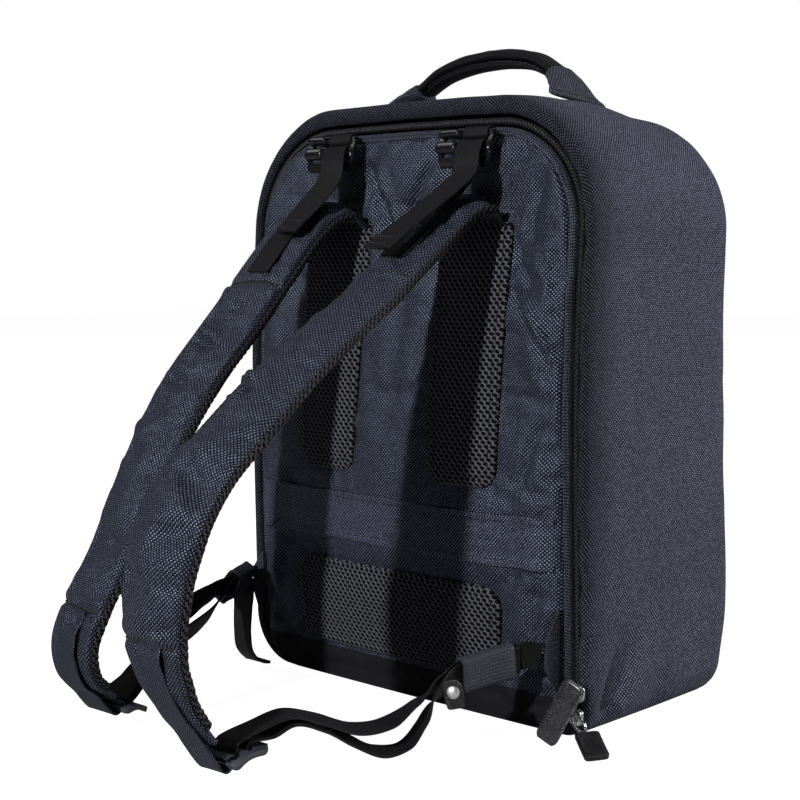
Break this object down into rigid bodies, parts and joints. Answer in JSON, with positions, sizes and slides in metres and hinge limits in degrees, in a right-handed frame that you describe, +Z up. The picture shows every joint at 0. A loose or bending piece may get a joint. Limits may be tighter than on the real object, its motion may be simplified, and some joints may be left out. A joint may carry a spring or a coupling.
{
  "type": "canvas backpack",
  "caption": "Soft clamshell backpack of dark canvas-like cloth, standing on its base, with a zipped padded back panel, curved padded shoulder straps, webbing adjusters and a rolled grab handle.",
  "frame": {"origin": "centre of the flat base, on the surface that the bag stands on", "axes": "+Z up, -Y towards the wearer's back (back panel and shoulder straps), +Y towards the bag's front, +X towards the side that carries the zip pulls"},
  "size_m": [0.362, 0.487, 0.4738],
  "materials": {
    "canvas": "coarse basket weave, matte, dark navy",
    "canvas_back": "coarse basket weave, matte, dark navy",
    "spacer_mesh": "black spacer mesh with open holes",
    "webbing": "black ribbed webbing with a slight sheen",
    "zip": "black coil zip on woven tape",
    "plastic": "satin black moulded plastic",
    "leather": "dark pebbled leather",
    "nickel": "polished nickel plate"
  },
  "bodies": {
    "root": {"main_shell": "canvas", "back_panel": "canvas_back", "zip_tape": "zip", "mesh_channel_left": "spacer_mesh", "mesh_channel_right": "spacer_mesh", "lumbar_pad": "spacer_mesh", "luggage_band": "canvas_back", "strap_pad_left": "canvas", "strap_pad_right": "canvas", "strap_mesh_left": "spacer_mesh", "strap_mesh_right": "spacer_mesh", "strap_tail_webbing_left": "webbing", "strap_tail_webbing_right": "webbing", "ladder_lock_left": "plastic", "ladder_lock_right": "plastic", "adjuster_webbing_left": "webbing", "adjuster_webbing_right": "webbing", "keeper_left": "webbing", "keeper_right": "webbing", "keeper_tab_right": "leather", "rivet_right": "nickel", "corner_tab_left": "webbing", "corner_tab_right": "webbing", "lifter_anchor_left": "webbing", "lifter_anchor_right": "webbing", "lifter_buckle_left": "plastic", "lifter_buckle_right": "plastic", "lifter_webbing_left": "webbing", "lifter_webbing_right": "webbing", "grab_handle": "canvas", "handle_tab_left": "canvas", "handle_tab_right": "canvas", "zip_slider_upper": "nickel", "zip_slider_lower": "nickel", "pull_ring_upper": "nickel", "pull_ring_lower": "nickel", "leather_pull_upper": "leather", "leather_pull_lower": "leather"}
  },
  "joints": []
}
